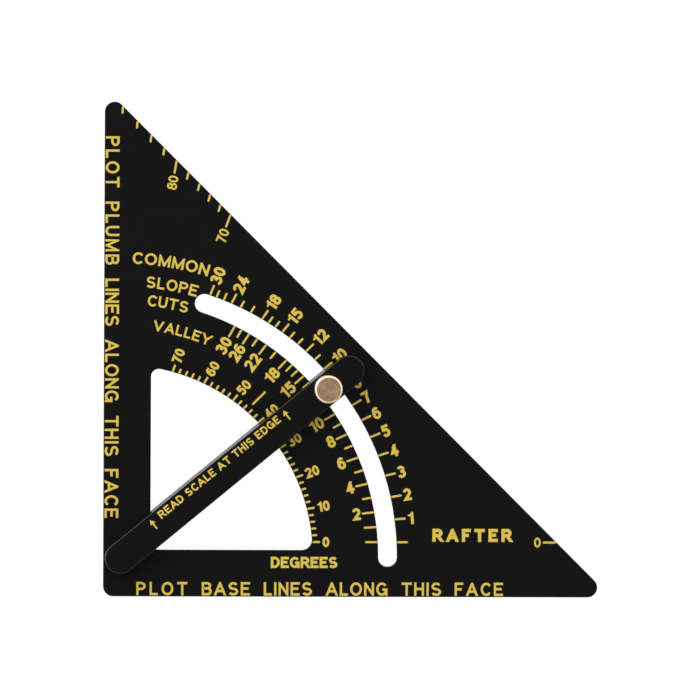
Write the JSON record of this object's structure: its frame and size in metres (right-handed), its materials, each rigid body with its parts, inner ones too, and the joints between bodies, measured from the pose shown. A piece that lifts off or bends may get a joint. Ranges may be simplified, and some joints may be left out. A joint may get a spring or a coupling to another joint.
{
  "type": "adjustable rafter square",
  "caption": "Right-angled rafter layout plate with a quarter-round window, an arc slot, and a two-bar pivoting arm clamped by a knurled thumb nut.",
  "frame": {"origin": "bottom centre of the whole tool lying flat, at the height of the rear bar's outer face", "axes": "+X along the seat edge away from the heel, +Y along the plumb edge away from the heel, +Z out of the printed front face"},
  "size_m": [0.1714, 0.1714, 0.023],
  "materials": {
    "black_plate": "black anodised, satin",
    "black_bar": "black anodised, satin",
    "steel": "bright, turned",
    "black_steel": "black oxide",
    "black_nylon": "moulded, matt",
    "brass": "turned, knurled"
  },
  "bodies": {
    "square": {"square_plate": "black_plate"},
    "arm": {"front_arm": "black_bar", "rear_arm": "black_bar", "pivot_bush": "steel", "front_pivot_washer": "black_nylon", "rear_pivot_washer": "black_nylon", "pivot_screw": "black_steel", "clamp_stud": "steel"},
    "washer": {"knob_washer": "brass"},
    "knob": {"clamp_knob": "brass"}
  },
  "joints": [
    {"name": "arm_pivot", "type": "hinge", "parent": "square", "child": "arm", "pos_m": [-0.07961, -0.07201, 0.0083], "axis": [0, 0, 1], "range_deg": [-39.5, 32.5]},
    {"name": "knob_rise", "type": "slide", "parent": "arm", "child": "washer", "axis": [0, 0, 1], "range_m": [0, 0.0016]},
    {"name": "knob_turn", "type": "hinge", "parent": "washer", "child": "knob", "pos_m": [-0.00823, -0.01317, 0.0194], "axis": [0, 0, 1], "range_deg": [0, 720]}
  ],
  "couplings": [
    {"joint": "knob_turn", "follows": "knob_rise", "rad_per_m": 7854}
  ]
}
